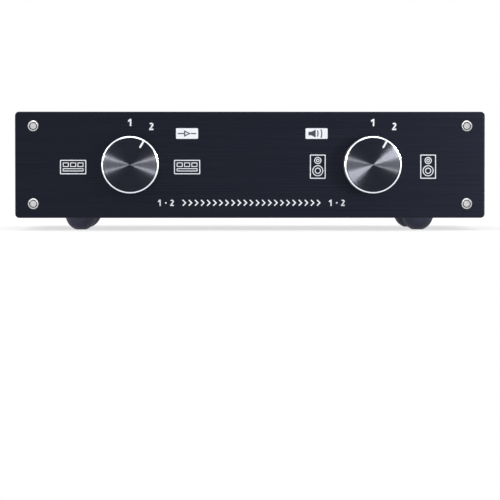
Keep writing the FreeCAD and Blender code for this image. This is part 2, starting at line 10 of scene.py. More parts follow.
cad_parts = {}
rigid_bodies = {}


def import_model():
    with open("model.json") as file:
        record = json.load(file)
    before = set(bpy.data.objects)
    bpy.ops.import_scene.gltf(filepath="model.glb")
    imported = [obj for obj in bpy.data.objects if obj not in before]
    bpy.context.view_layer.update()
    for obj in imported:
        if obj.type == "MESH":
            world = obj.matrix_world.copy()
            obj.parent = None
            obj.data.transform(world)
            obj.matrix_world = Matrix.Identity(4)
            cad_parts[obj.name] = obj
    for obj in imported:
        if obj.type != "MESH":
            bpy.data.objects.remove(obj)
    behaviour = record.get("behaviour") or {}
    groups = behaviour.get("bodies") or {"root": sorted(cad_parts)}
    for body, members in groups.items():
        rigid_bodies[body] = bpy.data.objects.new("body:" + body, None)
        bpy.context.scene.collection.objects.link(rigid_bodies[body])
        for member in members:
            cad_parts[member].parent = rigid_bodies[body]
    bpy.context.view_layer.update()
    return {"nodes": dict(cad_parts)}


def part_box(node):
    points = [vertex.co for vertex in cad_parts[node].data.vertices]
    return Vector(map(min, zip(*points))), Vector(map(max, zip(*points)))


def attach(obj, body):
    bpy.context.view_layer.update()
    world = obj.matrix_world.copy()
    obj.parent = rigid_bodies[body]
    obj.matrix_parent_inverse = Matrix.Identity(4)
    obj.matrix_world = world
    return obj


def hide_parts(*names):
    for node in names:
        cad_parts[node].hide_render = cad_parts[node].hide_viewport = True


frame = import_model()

MM = 0.001
METRES = Matrix.Diagonal((MM, MM, MM, 1))  # takes millimetres to metres
WELD = 1e-6  # corners closer than this, in metres, are one


# ---- where the CAD pieces are, in millimetres ----
def span(node):
    """(lowest corner, highest corner) of a CAD node in millimetres."""
    low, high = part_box(node)
    return low / MM, high / MM


PANEL_LOW, PANEL_HIGH = span("front_panel")
FRONT_Y = PANEL_LOW.y
REAR_Y = span("rear_panel")[1].y
MID_Z = (PANEL_LOW.z + PANEL_HIGH.z) / 2
GROUPS = ("amp1", "amp2", "speaker1", "speaker2")


def post_places():
    """The point on each post's axis where its cap begins, by the post's name."""
    places = {}
    for group in GROUPS:
        for channel in ("left", "right"):
            for row in ("upper", "lower"):
                name = f"{group}_{channel}_{row}"
                low, high = span("cap_" + name)
                places[name] = Vector(((low.x + high.x) / 2, low.y, (low.z + high.z) / 2))
    return places


POSTS = post_places()


# ---- mesh builders: each works in millimetres and in its own local frame ----
def place(origin, direction):
    """Local millimetres to world metres: the local z axis runs along direction from origin."""
    along = Vector(direction).normalized()
    side = Vector((1, 0, 0))
    up = along.cross(side)
    turn = Matrix((side, up, along)).transposed().to_4x4()
    return METRES @ Matrix.Translation(Vector(origin)) @ turn


def lathe(bm, profile, sides, at, closed=False, shape=None):
    """Turns (height, radius[, material]) points about local z.

    closed joins the last point to the first. shape(height, radius, angle) gives the radius at an angle.
    """
    rings = []
    for point in profile:
        height, radius = point[:2]
        if radius == 0:
            rings.append([bm.verts.new(at @ Vector((0, 0, height)))])
            continue
        ring = []
        for k in range(sides):
            angle = 2 * math.pi * k / sides
            r = shape(height, radius, angle) if shape else radius
            ring.append(bm.verts.new(at @ Vector((r * math.cos(angle), r * math.sin(angle), height))))
        rings.append(ring)
    pairs = list(zip(rings, rings[1:], profile))
    if closed:
        pairs.append((rings[-1], rings[0], profile[-1]))
    for low, high, point in pairs:
        for k in range(sides):
            after = (k + 1) % sides
            corners = [low[k % len(low)], low[after % len(low)]]
            corners += [high[after % len(high)], high[k % len(high)]]
            corners = list(dict.fromkeys(corners))
            if len(corners) > 2:
                face = bm.faces.new(corners)
                face.material_index = point[2] if len(point) > 2 else 0


def linked(name, data):
    """A new object in the scene that holds a mesh, a light or a camera."""
    thing = bpy.data.objects.new(name, data)
    bpy.context.scene.collection.objects.link(thing)
    return thing


def smooth_mesh(name, bm, keys, sharp):
    """A smooth-shaded mesh with sharp edges above an angle in degrees, from a filled bmesh."""
    bmesh.ops.recalc_face_normals(bm, faces=bm.faces)
    mesh = bpy.data.meshes.new(name)
    bm.to_mesh(mesh)
    bm.free()
    for key in keys:
        mesh.materials.append(MATERIALS[key])
    mesh.shade_smooth()
    mesh.set_sharp_from_angle(angle=math.radians(sharp))
    return mesh


def finished(name, bm, keys=(), sharp=35):
    """An object with the smooth mesh of a filled bmesh."""
    return linked(name, smooth_mesh(name, bm, keys, sharp))


def cut(target, cutter):
    """Takes the cutter's volume out of the target and deletes the cutter."""
    modifier = target.modifiers.new("cut", "BOOLEAN")
    modifier.operation = "DIFFERENCE"
    modifier.solver = "EXACT"
    modifier.object = cutter
    apply_modifiers(target)
    bpy.data.objects.remove(cutter)


def apply_modifiers(thing):
    """Leaves a thing with the mesh that its modifiers make, and without them."""
    bpy.context.view_layer.update()
    graph = bpy.context.evaluated_depsgraph_get()
    mesh = bpy.data.meshes.new_from_object(thing.evaluated_get(graph))
    thing.modifiers.clear()
    thing.data = mesh


def prism(bm, points, low, high, at=None, sides=0):
    """A straight-sided block over a flat outline of (x, y) points.

    sides is the material of its side faces.
    """
    at = at or Matrix.Identity(4)
    bottom = [bm.verts.new(at @ Vector((x, y, low))) for x, y in points]
    top = [bm.verts.new(at @ Vector((x, y, high))) for x, y in points]
    bm.faces.new(bottom)
    bm.faces.new(top)
    for k in range(len(points)):
        face = bm.faces.new([bottom[k - 1], bottom[k], top[k], top[k - 1]])
        face.material_index = sides


def copies(name, source, places, sharp=35):
    """One mesh of copies of a source object's mesh, one per matrix. The source is deleted."""
    bm = bmesh.new()
    for at in places:
        start = len(bm.verts)
        bm.from_mesh(source.data)
        bm.verts.ensure_lookup_table()
        bmesh.ops.transform(bm, matrix=at, verts=bm.verts[start:])
    mesh = bpy.data.meshes.new(name)
    bm.to_mesh(mesh)
    bm.free()
    for m in source.data.materials:
        mesh.materials.append(m)
    bpy.data.objects.remove(source)
    mesh.set_sharp_from_angle(angle=math.radians(sharp))
    return linked(name, mesh)


def put(thing, body, slot, *replaced):
    """Rides a thing on a body and lets it stand for the replaced CAD nodes, which it hides. The slot
    argument is not used.
    """
    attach(thing, body)
    if replaced:
        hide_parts(*replaced)
    return thing


# ---- material builders ----
class Shader:
    """A Principled material with helpers for procedural detail in the object's own coordinates."""

    def __init__(self, name):
        self.material = bpy.data.materials.new(name)
        self.material.use_nodes = True
        self.tree = self.material.node_tree
        self.bsdf = self.tree.nodes["Principled BSDF"]
        self.coords = self.tree.nodes.new("ShaderNodeTexCoord")

    def set(self, **values):
        for key, value in values.items():
            self.bsdf.inputs[key.replace("_", " ")].default_value = value
        return self

    def node(self, kind, **values):
        made = self.tree.nodes.new("ShaderNode" + kind)
        for key, value in values.items():
            if hasattr(made, key):
                setattr(made, key, value)
            else:
                made.inputs[key.replace("_", " ")].default_value = value
        return made

    def link(self, output, target):
        self.tree.links.new(output, target)

    def noise(self, scale, stretch=(1, 1, 1), detail=3.0):
        mapping = self.node("Mapping")
        mapping.inputs["Scale"].default_value = stretch
        self.link(self.coords.outputs["Object"], mapping.inputs["Vector"])
        texture = self.node("TexNoise", Scale=scale, Detail=detail, Roughness=0.6)
        self.link(mapping.outputs["Vector"], texture.inputs["Vector"])
        return texture.outputs["Fac"]

    def radius(self):
        """The distance from the object's y axis, in metres."""
        parts = self.node("SeparateXYZ")
        self.link(self.coords.outputs["Object"], parts.inputs["Vector"])
        flat = self.node("CombineXYZ")
        self.link(parts.outputs["X"], flat.inputs["X"])
        self.link(parts.outputs["Z"], flat.inputs["Y"])
        length = self.node("VectorMath", operation="LENGTH")
        self.link(flat.outputs["Vector"], length.inputs[0])
        return length.outputs["Value"]

    def radius_noise(self, scale, detail=2.0):
        """Noise that only depends on the distance from the object's y axis, as turning leaves it."""
        texture = self.node("TexNoise", noise_dimensions="1D", Scale=scale, Detail=detail)
        self.link(self.radius(), texture.inputs["W"])
        return texture.outputs["Fac"]

    def outward(self, near, far):
        """0 at one distance from the object's y axis, 1 at a longer one (both in metres)."""
        spread = self.node("MapRange")
        spread.inputs["From Min"].default_value = near
        spread.inputs["From Max"].default_value = far
        self.link(self.radius(), spread.inputs["Value"])
        return spread.outputs["Result"]

    def ramp(self, factor, low, high, start, end):
        """Maps a factor to a colour between low and high."""
        ramp = self.node("ValToRGB")
        ramp.color_ramp.elements[0].position = start
        ramp.color_ramp.elements[1].position = end
        ramp.color_ramp.elements[0].color = (*low, 1)
        ramp.color_ramp.elements[1].color = (*high, 1)
        self.link(factor, ramp.inputs["Fac"])
        return ramp.outputs["Color"]

    def colour(self, factor, low, high, start=0.35, end=0.65):
        self.link(self.ramp(factor, low, high, start, end), self.bsdf.inputs["Base Color"])
        return self

    def rough(self, factor, low, high):
        spread = self.node("MapRange")
        spread.inputs["From Min"].default_value = 0.3
        spread.inputs["From Max"].default_value = 0.7
        spread.inputs["To Min"].default_value = low
        spread.inputs["To Max"].default_value = high
        self.link(factor, spread.inputs["Value"])
        self.link(spread.outputs["Result"], self.bsdf.inputs["Roughness"])
        return self

    def bump(self, factor, depth, strength):
        bump = self.node("Bump", Strength=strength, Distance=depth)
        self.link(factor, bump.inputs["Height"])
        self.link(bump.outputs["Normal"], self.bsdf.inputs["Normal"])
        return self

    def turned(self):
        """Grooves run round the object's y axis, so highlights spread along the radius."""
        tangent = self.node("Tangent", direction_type="RADIAL", axis="Y")
        self.link(tangent.outputs["Tangent"], self.bsdf.inputs["Tangent"])
        return self


def srgb(code):
    """#rrggbb as linear colour values."""
    values = [int(code[k : k + 2], 16) / 255 for k in (1, 3, 5)]
    return tuple(v / 12.92 if v <= 0.04045 else ((v + 0.055) / 1.055) ** 2.4 for v in values)


MATERIALS = {}


def material(build):
    """Runs a material's builder on a new shader and keeps the result under the builder's name."""
    shader = Shader(build.__name__)
    build(shader)
    MATERIALS[build.__name__] = shader.material
    return build


@material
def front_brushed(m):
    """Black anodised plate, brushed along its length."""
    m.set(Metallic=0.9, Specular_IOR_Level=0.2)
    grain = m.noise(1.0, (12, 1500, 4500), 4.0)
    m.colour(grain, srgb("#1a1c27"), srgb("#20222c")).rough(grain, 0.24, 0.3).bump(grain, 0.00002, 0.1)


@material
def rear_satin(m):
    """Black satin coat on the rear plate."""
    m.set(Metallic=0.0, Specular_IOR_Level=0.08)
    grain = m.noise(2600.0, detail=2.0)
    m.colour(grain, srgb("#14151b"), srgb("#1a1b22")).rough(m.noise(40.0), 0.5, 0.62)
    m.bump(grain, 0.00003, 0.2)


@material
def case_anodised(m):
    """Dark grey anodised extrusion with die lines along its length."""
    m.set(Metallic=0.9, Specular_IOR_Level=0.3)
    grain = m.noise(1.0, (3500, 6, 3500), 3.0)
    m.colour(grain, srgb("#38373d"), srgb("#4a494f")).rough(grain, 0.38, 0.55).bump(grain, 0.00003, 0.3)


@material
def cover_coat(m):
    """Fine black powder coat on the covers."""
    m.set(Metallic=0.0, Specular_IOR_Level=0.1)
    grain = m.noise(1800.0, detail=3.0)
    m.colour(m.noise(60.0), srgb("#121317"), srgb("#18191e")).rough(grain, 0.45, 0.6)
    m.bump(grain, 0.00005, 0.35)


@material
def knob_side(m):
    """Anodised skirt of a knob, with faint turning lines."""
    m.set(Metallic=0.45, Specular_IOR_Level=0.3)
    lines = m.noise(1.0, (40, 7000, 40), 3.0)
    m.colour(lines, srgb("#5c5c67"), srgb("#74747f")).rough(lines, 0.28, 0.42).bump(lines, 0.00001, 0.3)


@material
def knob_face(m):
    """Spun face of a knob: fine rings that fan the light out from the centre."""
    m.set(Metallic=1.0, Anisotropic=1.0, Anisotropic_Rotation=0.25)
    rings = m.radius_noise(3200.0, 3.0)
    m.colour(rings, srgb("#1f212a"), srgb("#292b36")).rough(rings, 0.32, 0.37).turned()


@material
def cut_ring(m):
    """Bright diamond-cut edge of a knob."""
    m.set(Metallic=1.0)
    rings = m.noise(900.0)
    m.colour(rings, (0.83, 0.87, 0.97), (0.9, 0.94, 1.0)).rough(rings, 0.2, 0.28)


@material
def white_ink(m):
    m.set(Specular_IOR_Level=0.3)
    grain = m.noise(2500.0)
    m.colour(grain, (0.78, 0.80, 0.85), (0.84, 0.86, 0.9)).rough(grain, 0.5, 0.65)


@material
def pale_ink(m):
    """Pale blue-grey of the fields and labels on the rear panel."""
    m.set(Specular_IOR_Level=0.3)
    grain = m.noise(2500.0)
    m.colour(m.noise(30.0), srgb("#ccd5e4"), srgb("#d6dfed")).rough(grain, 0.4, 0.5)
    m.bump(grain, 0.00002, 0.15)


@material
def dark_ink(m):
    m.set(Specular_IOR_Level=0.3)
    grain = m.noise(2500.0)
    m.colour(grain, srgb("#14151a"), srgb("#1a1b21")).rough(grain, 0.45, 0.6)


@material
def grey_ink(m):
    m.set(Specular_IOR_Level=0.3)
    grain = m.noise(2500.0)
    m.colour(grain, srgb("#3c3f47"), srgb("#484b54")).rough(grain, 0.45, 0.6)


@material
def bright_zinc(m):
    """Plated steel of the front screws."""
    m.set(Metallic=1.0)
    lines = m.noise(1300.0)
    m.colour(lines, (0.54, 0.54, 0.55), (0.68, 0.68, 0.69)).rough(m.noise(900.0), 0.22, 0.32)
    m.bump(lines, 0.00002, 0.3)


# black oxide of the dark screws; in the sockets of the bright front screws the same black is painted shade
@material
def black_oxide_and_socket_shade(m):
    m.set(Metallic=0.8, Specular_IOR_Level=0.5)
    grain = m.noise(1500.0)
    m.colour(grain, srgb("#141417"), srgb("#26262a")).rough(grain, 0.3, 0.45).bump(grain, 0.00003, 0.3)


@material
def recess_glint_steel(m):
    """Lighter bare steel on the walls of a cross recess: painted glints there."""
    m.set(Metallic=1.0)
    grain = m.noise(1500.0)
    m.colour(grain, (0.22, 0.22, 0.23), (0.6, 0.6, 0.61)).rough(grain, 0.2, 0.35)


@material
def foot_rubber(m):
    """Moulded rubber, slightly bloomed."""
    m.set(Specular_IOR_Level=0.35, Sheen_Weight=0.1)
    grain = m.noise(1400.0)
    m.colour(m.noise(120.0), srgb("#51526b"), srgb("#5e607b")).rough(grain, 0.5, 0.65)
    m.bump(grain, 0.00006, 0.4)


@material
def clear_cap(m):
    """Clear acrylic; its milky white is painted light for what its many faces scatter. Near its axis a
    darker, warm colour is a painted reflection of the brass inside.
    """
    m.set(Transmission_Weight=0.66, IOR=1.49, Specular_IOR_Level=0.5)
    # lighter and cooler outward, darker and warm near the axis: a painted reflection of the brass
    outward = m.outward(0.0046, 0.0068)
    m.colour(outward, (0.68, 0.59, 0.53), (1.0, 0.985, 0.96), 0.0, 1.0).rough(m.noise(500.0), 0.05, 0.14)


@material
def cap_groove_painted_shade(m):
    """Painted shade on a cap's grooves and edges: a darker, less clear acrylic."""
    m.set(Transmission_Weight=0.35, IOR=1.49, Specular_IOR_Level=0.5)
    flow = m.noise(260.0, detail=2.0)
    m.colour(flow, (0.67, 0.6, 0.56), (0.82, 0.76, 0.72)).rough(m.noise(500.0), 0.15, 0.3)


@material
def clear_flange(m):
    """The clear base under a cap."""
    m.set(Transmission_Weight=0.4, IOR=1.49, Specular_IOR_Level=0.5)
    m.colour(m.noise(300.0), (0.97, 0.95, 0.92), (1.0, 0.99, 0.97)).rough(m.noise(500.0), 0.05, 0.14)


@material
def dull_brass(m):
    """Tarnished brass of the sleeves."""
    m.set(Metallic=1.0)
    lines = m.radius_noise(5200.0)
    m.colour(lines, srgb("#7f6457"), srgb("#a28372")).rough(lines, 0.28, 0.42)


@material
def gold_plate(m):
    m.set(Metallic=1.0)
    grain = m.noise(1500.0)
    m.colour(grain, (0.43, 0.30, 0.23), (0.56, 0.42, 0.33)).rough(grain, 0.2, 0.34)


@material
def cut_gold(m):
    """Fresh bright edge of a plated part."""
    m.set(Metallic=1.0)
    grain = m.noise(1500.0)
    m.colour(grain, (0.56, 0.48, 0.42), (0.64, 0.58, 0.53)).rough(grain, 0.15, 0.25)


@material
def socket_bore(m):
    """Inside of a banana socket: a dark brown, painted shade for the deep bore."""
    m.set(Metallic=0.9)
    grain = m.noise(1500.0)
    m.colour(grain, srgb("#4c3427"), srgb("#7a5a46")).rough(grain, 0.25, 0.4)


@material
def switch_steel(m):
    m.set(Metallic=1.0)
    grain = m.noise(1100.0)
    m.colour(grain, (0.5, 0.5, 0.52), (0.66, 0.66, 0.67)).rough(grain, 0.25, 0.4)


@material
def cast_zinc(m):
    m.set(Metallic=1.0)
    grain = m.noise(700.0)
    m.colour(grain, (0.4, 0.4, 0.41), (0.52, 0.52, 0.53)).rough(grain, 0.45, 0.6).bump(grain, 0.0001, 0.4)


@material
def phenolic(m):
    """Moulded body and rotor of a switch."""
    m.set(Specular_IOR_Level=0.4)
    grain = m.noise(500.0)
    m.colour(grain, srgb("#2b2320"), srgb("#3a302b")).rough(grain, 0.4, 0.55).bump(grain, 0.00005, 0.3)


@material
def tinned(m):
    m.set(Metallic=1.0)
    grain = m.noise(1500.0)
    m.colour(grain, (0.68, 0.68, 0.69), (0.82, 0.82, 0.82)).rough(grain, 0.25, 0.45)


@material
def board_laminate(m):
    """Green solder mask over glass weave."""
    m.set(Specular_IOR_Level=0.5)
    grain = m.noise(900.0, (1, 1, 4))
    m.colour(grain, srgb("#0f4a2a"), srgb("#1a6238")).rough(grain, 0.25, 0.4)


@material
def ribbon_cable(m):
    """Grey ribbon, ribbed by its wires."""
    m.set(Specular_IOR_Level=0.4)
    wires = m.noise(1.0, (1200, 6, 6), 1.0)
    m.colour(wires, srgb("#8e8e90"), srgb("#b2b2b4")).rough(wires, 0.4, 0.55).bump(wires, 0.0002, 0.6)


def repaint(node, key):
    """Gives a CAD node that stays its finished material."""
    thing = frame["nodes"][node]
    for slot in thing.material_slots:
        slot.material = MATERIALS[key]


# ---- machined plates: the CAD form with its edges broken ----
def bevelled(node, key, slot, width):
    """A copy of a CAD node with softly broken edges, which stands for it."""
    source = frame["nodes"][node]
    bm = bmesh.new()
    bm.from_mesh(source.data)
    bmesh.ops.remove_doubles(bm, verts=bm.verts, dist=WELD)
    bmesh.ops.dissolve_limit(bm, angle_limit=math.radians(1), verts=bm.verts, edges=bm.edges)
    mesh = bpy.data.meshes.new(node + "_edged")
    bm.to_mesh(mesh)
    bm.free()
    mesh.materials.clear()
    mesh.shade_smooth()
    thing = linked(node + "_edged", mesh)
    edge = thing.modifiers.new("edge", "BEVEL")
    edge.width = width * MM
    edge.segments = 2
    edge.limit_method = "ANGLE"
    edge.angle_limit = math.radians(30)
    # the flat faces keep their own normals, so only the broken edges shade as round
    even = thing.modifiers.new("even", "WEIGHTED_NORMAL")
    even.mode = "FACE_AREA"
    even.weight = 100
    apply_modifiers(thing)
    thing.data.materials.append(MATERIALS[key])
    return put(thing, "case", slot, node)


bevelled("front_panel", "front_brushed", "front_anodised", 0.12)
bevelled("rear_panel", "rear_satin", "rear_black", 0.08)
for rail in ("right_side_rail", "left_side_rail"):
    bevelled(rail, "case_anodised", "case_anodised", 0.12)
for cover in ("top_cover", "bottom_cover"):
    bevelled(cover, "cover_coat", "cover_black", 0.15)

# what is inside the case, and the grub screws, keep the CAD's form
for node, key in {
    "amp_grub_screw": "black_oxide_and_socket_shade",
    "speaker_grub_screw": "black_oxide_and_socket_shade",
    "amp_switch_shaft": "switch_steel",
    "speaker_switch_shaft": "switch_steel",
    "amp_switch_rotor": "phenolic",
    "speaker_switch_rotor": "phenolic",
    "switch_frames": "cast_zinc",
    "switch_bodies": "phenolic",
    "switch_nuts": "switch_steel",
    "switch_washers": "switch_steel",
    "switch_terminals": "tinned",
    "post_nuts": "gold_plate",
    "terminal_board": "board_laminate",
    "wiring_ribbons": "ribbon_cable",
}.items():
    repaint(node, key)


# ---- knobs ----
KNOB_RING = 0.6  # width of the bright cut edge
KNOB_SIDES = 128
SHAFT_RADIUS, SHAFT_DEPTH = 3.2, 9.0  # the hole for the shaft
RECESS_RADIUS, RECESS_DEPTH = 8.5, 5.0  # the hollow in the knob's back
BACK_CHAMFER = 0.4
FACE_DROP = 0.1  # how far the spun face lies inside the knob's full length
FACE_RINGS = 16
POINTER_WIDTH = 0.9
POINTER_START = 9.4  # from the knob's axis
POINTER_DEPTH = 0.35
REST_TURN = 30.0  # degrees that the pointer leans at rest


def knob(dial):
    """A turned knob with its hollow back, its bright edge and its pointer."""
    low, high = span(dial + "_knob")
    centre = Vector(((low.x + high.x) / 2, high.y, (low.z + high.z) / 2))
    length = high.y - low.y
    radius = (high.z - low.z) / 2
    ring = radius - KNOB_RING
    face = length - FACE_DROP
    profile = [
        (SHAFT_DEPTH, 0, 0),
        (SHAFT_DEPTH, SHAFT_RADIUS, 0),
        (RECESS_DEPTH, SHAFT_RADIUS, 0),
        (RECESS_DEPTH, RECESS_RADIUS, 0),
        (0.0, RECESS_RADIUS, 0),
        (0.0, radius - BACK_CHAMFER, 0),
        (BACK_CHAMFER, radius, 0),
        (length - KNOB_RING - 0.05, radius, 1),
        (length - KNOB_RING, radius, 1),
        (length - 0.08, ring, 2),  # the bright edge's crest
        (length - 0.14, ring - 0.12, 2),  # a fine groove round the face
        (face, ring - 0.2, 2),
    ]
    profile += [(face, ring * k / FACE_RINGS, 2) for k in range(FACE_RINGS - 1, 0, -1)]
    profile += [(face, 0, 2)]
    outward = Matrix.Rotation(math.pi / 2, 4, "X")
    bm = bmesh.new()
    lathe(bm, profile, KNOB_SIDES, METRES @ outward)
    thing = finished(dial + "_knob_turned", bm, ("knob_side", "cut_ring", "knob_face"), 30)
    thing.location = centre * MM
    put(thing, dial + "_dial", "knob_anodised", dial + "_knob")
    pointer(dial, centre, length, ring + 0.1, outward)


def pointer(dial, centre, length, outer, outward):
    """The painted line, from POINTER_START out to the ring. Its top is just proud of the spun face."""
    half = POINTER_WIDTH / 2
    outline = [(half, outer), (-half, outer)]
    outline += [
        (-half * math.cos(a), POINTER_START + half - half * math.sin(a))
        for a in (math.pi * k / 10 for k in range(11))
    ]
    bm = bmesh.new()
    prism(bm, outline, length - POINTER_DEPTH, length - 0.02)
    line = finished(dial + "_pointer", bm, ("white_ink",))
    turn = Matrix.Rotation(math.radians(REST_TURN), 4, "Y")
    line.data.transform(Matrix.Translation(centre * MM) @ turn @ METRES @ outward)
    put(line, dial + "_dial", "knob_anodised")


knob("amp")
knob("speaker")


# ---- binding posts: the heights in each profile run outward from the piece's own seat ----
OUT_OF_REAR = place((0, 0, 0), (0, 1, 0))
FLANGE_HEIGHT = 4.0
FLANGE_RADIUS = 8.08
BOSS_RADIUS = 4.1
CAP_RADIUS = 7.42
MOUTH_LEDGE = 14.7  # the inner step of the cap's mouth
SKIRT_START, SKIRT_TOP = 0.3, 5.2  # the flats lie between these heights
FLAT_DEPTH = 0.32  # how far the middle of a flat lies below the round
GRIP_RINGS, GRIP_PITCH, GRIP_START = 4, 1.95, 6.6
GRIP_RADIUS, GRIP_TAPER = 6.6, 0.15
SLEEVE_RADIUS, SLEEVE_BORE = 4.42, 3.1
STUD_RADIUS, TAIL_RADIUS = 2.95, 1.95
THREAD_START, THREAD_END, THREAD_DEPTH = 0.4, 14.6, 0.42
THREAD_RINGS = 86
PLUG_RADIUS, PLUG_DEPTH = 2.0, 12.8
WIRE_HOLE_RADIUS, WIRE_HOLE_HEIGHT = 1.1, 1.7
CAP_SIDES, SLEEVE_SIDES, STUD_SIDES, HOLE_SIDES = 80, 64, 40, 32
CAP_STEP = 2.4  # radians from one cap's angle to the next


def flats(height, radius, angle):
    """Softens a ten-sided skirt: the radius is the smaller of the round and the flats."""
    if not SKIRT_START < height < SKIRT_TOP:
        return radius
    pitch = math.pi / 5
    off = angle % pitch - pitch / 2
    return min(radius, (radius - FLAT_DEPTH) / math.cos(off))


def cap_mesh():
    """A skirt with flats, a shoulder, a nose with grip rings and a rounded mouth."""
    r = CAP_RADIUS
    # faces that begin at a point marked 1 take the darker acrylic: painted shade along the grooves and edges
    profile = [(0.0, 4.55), (0.0, 6.7), (0.12, 7.1), (0.45, r), (2.4, r, 1), (2.6, 7.3, 1), (2.8, r)]
    profile += [(4.7, r), (5.1, 7.3, 1), (SKIRT_TOP, 7.08), (5.9, 6.8, 1), (6.15, 6.5, 1)]
    for k in range(GRIP_RINGS):
        start, r = GRIP_START + GRIP_PITCH * k, GRIP_RADIUS - GRIP_TAPER * k
        profile += [(start, r - 0.35), (start + 0.25, r - 0.02), (start + 0.45, r), (start + 1.25, r)]
        profile += [(start + 1.45, r - 0.05, 1), (start + 1.7, r - 0.38, 1)]
    profile += [(14.4, 5.8), (14.75, 5.72), (14.85, 5.5, 1), (14.78, 5.36)]
    profile += [(14.95, 5.2), (15.0, 5.0), (14.9, 4.8), (MOUTH_LEDGE, 4.7), (MOUTH_LEDGE, 4.5)]
    bm = bmesh.new()
    lathe(bm, profile, CAP_SIDES, OUT_OF_REAR, closed=True, shape=flats)
    return smooth_mesh("cap", bm, ("clear_cap", "cap_groove_painted_shade"), 50)


def sleeve_mesh():
    """The brass tube in a cap."""
    profile = [(0.0, SLEEVE_BORE, 0), (0.0, 4.3, 2), (0.15, SLEEVE_RADIUS, 2), (14.55, SLEEVE_RADIUS, 0)]
    profile += [(14.66, 4.36, 0), (14.68, 3.16, 2), (14.68, 3.14, 1), (14.62, SLEEVE_BORE, 1)]
    bm = bmesh.new()
    lathe(bm, profile, SLEEVE_SIDES, OUT_OF_REAR, closed=True)
    return smooth_mesh("sleeve", bm, ("dull_brass", "gold_plate", "cut_gold"), 40)


def thread(height, radius, angle):
    """A right-hand thread of 1 mm pitch between two heights of the stud."""
    if not THREAD_START < height < THREAD_END:
        return radius
    phase = (height - angle / (2 * math.pi)) % 1.0
    return radius - THREAD_DEPTH * abs(2 * phase - 1)


def core_object():
    """A threaded stud with its tail, the bore for a banana plug and the cross hole for a wire."""
    low, high = span("post_cores")
    length = high.y - REAR_Y - FLANGE_HEIGHT
    tail = low.y - REAR_Y - FLANGE_HEIGHT
    r = STUD_RADIUS
    profile = [(tail, 0, 0), (tail, 1.7, 0), (tail + 0.3, TAIL_RADIUS, 0)]
    profile += [(0.0, TAIL_RADIUS, 0), (0.0, r, 0)]
    profile += [(THREAD_START + k / 6, 2.97, 0) for k in range(THREAD_RINGS)]
    profile += [(14.9, 2.6, 0), (15.2, r, 0), (length - 0.14, r, 1), (length - 0.02, 2.84, 1)]
    # from the point marked 2 the bore takes the darker socket colour: painted shade down the hole
    profile += [(length, 2.78, 3), (length, 2.14, 1), (length - 0.12, 2.02, 2)]
    profile += [(length - PLUG_DEPTH + 0.2, PLUG_RADIUS, 2), (length - PLUG_DEPTH, 0, 2)]
    bm = bmesh.new()
    lathe(bm, profile, STUD_SIDES, OUT_OF_REAR, shape=thread)
    stud = finished("stud", bm, ("gold_plate", "cut_gold", "socket_bore", "dull_brass"), 40)
    drill = [(-5, 0), (-5, WIRE_HOLE_RADIUS), (5, WIRE_HOLE_RADIUS), (5, 0)]
    bm = bmesh.new()
    lathe(bm, drill, HOLE_SIDES, place((0, WIRE_HOLE_HEIGHT, 0), (0, 0, 1)))
    cut(stud, finished("hole", bm))
    return stud


def base_object():
    """A flange with a shallow groove under the cap, and a boss that goes through the panel."""
    boss = span("post_bases")[0].y - REAR_Y
    r, top = FLANGE_RADIUS, FLANGE_HEIGHT
    profile = [(boss, 2.15), (boss, BOSS_RADIUS), (0.0, BOSS_RADIUS), (0.0, 7.9), (0.2, r), (2.9, r)]
    profile += [(3.3, 7.95), (3.7, 7.6), (3.95, 7.1), (top, 6.6)]
    profile += [(3.75, 6.4), (3.7, 5.2), (3.95, 5.0), (top, 2.15)]
    bm = bmesh.new()
    lathe(bm, profile, CAP_SIDES, OUT_OF_REAR, closed=True)
    return finished("flange", bm, ("clear_flange",), 50)


def caps_and_sleeves():
    """A cap and a sleeve on each post. Each cap stopped at its own angle when it was screwed down."""
    kinds = (("cap", cap_mesh(), "clear_plastic"), ("sleeve", sleeve_mesh(), "sleeve_brass"))
    for index, (name, spot) in enumerate(POSTS.items()):
        for kind, mesh, slot in kinds:
            thing = linked(f"{kind}_{name}_turned", mesh)
            thing.location = spot * MM
            thing.rotation_euler = (0, CAP_STEP * index, 0)
            put(thing, f"{name}_{kind}", slot, f"{kind}_{name}")


def on_posts(height):
    """One matrix per post, on its axis, at a height above the rear panel."""
    return [Matrix.Translation(Vector((p.x, REAR_Y + height, p.z)) * MM) for p in POSTS.values()]


caps_and_sleeves()
studs = copies("post_cores_turned", core_object(), on_posts(FLANGE_HEIGHT), sharp=40)
put(studs, "case", "gold_brass", "post_cores")
bases = copies("post_bases_moulded", base_object(), on_posts(0), sharp=50)
put(bases, "case", "clear_plastic", "post_bases")


# ---- screws ----
HEAD_RADIUS = {"front_screws": 2.85, "rear_screws": 3.0}  # of the CAD's heads
SHANK_RADIUS = 1.48
HEX_SOCKET = 2.5  # across flats
SOCKET_FLOOR = 0.9  # both drives end this far above the head's seat
DRIVE_TOP = 3.0  # above any head
FRONT_LENGTH, REAR_LENGTH = 11.5, 9.8  # of the screws, below the head
CROSS_TURN = 0.5  # radians that the rear screws' crosses are turned
SCREW_SIDES = 64


def hexagon(across_flats):
    radius = across_flats / math.sqrt(3)
    return [(radius * math.cos(math.pi * k / 3), radius * math.sin(math.pi * k / 3)) for k in range(6)]


def screw_spots(node, y):
    """One matrix per corner screw of a panel, on the panel's face."""
    low, high = span(node)
    head = HEAD_RADIUS[node]
    xs = (low.x + head, high.x - head)
    zs = (low.z + head, high.z - head)
    return [Matrix.Translation(Vector((x, y, z)) * MM) for x in xs for z in zs]


def shank(length):
    """The profile of a screw's plain shank, from its tip to the head's seat."""
    return [(-length, 0), (-length, 1.3), (0.3 - length, SHANK_RADIUS), (0, SHANK_RADIUS)]


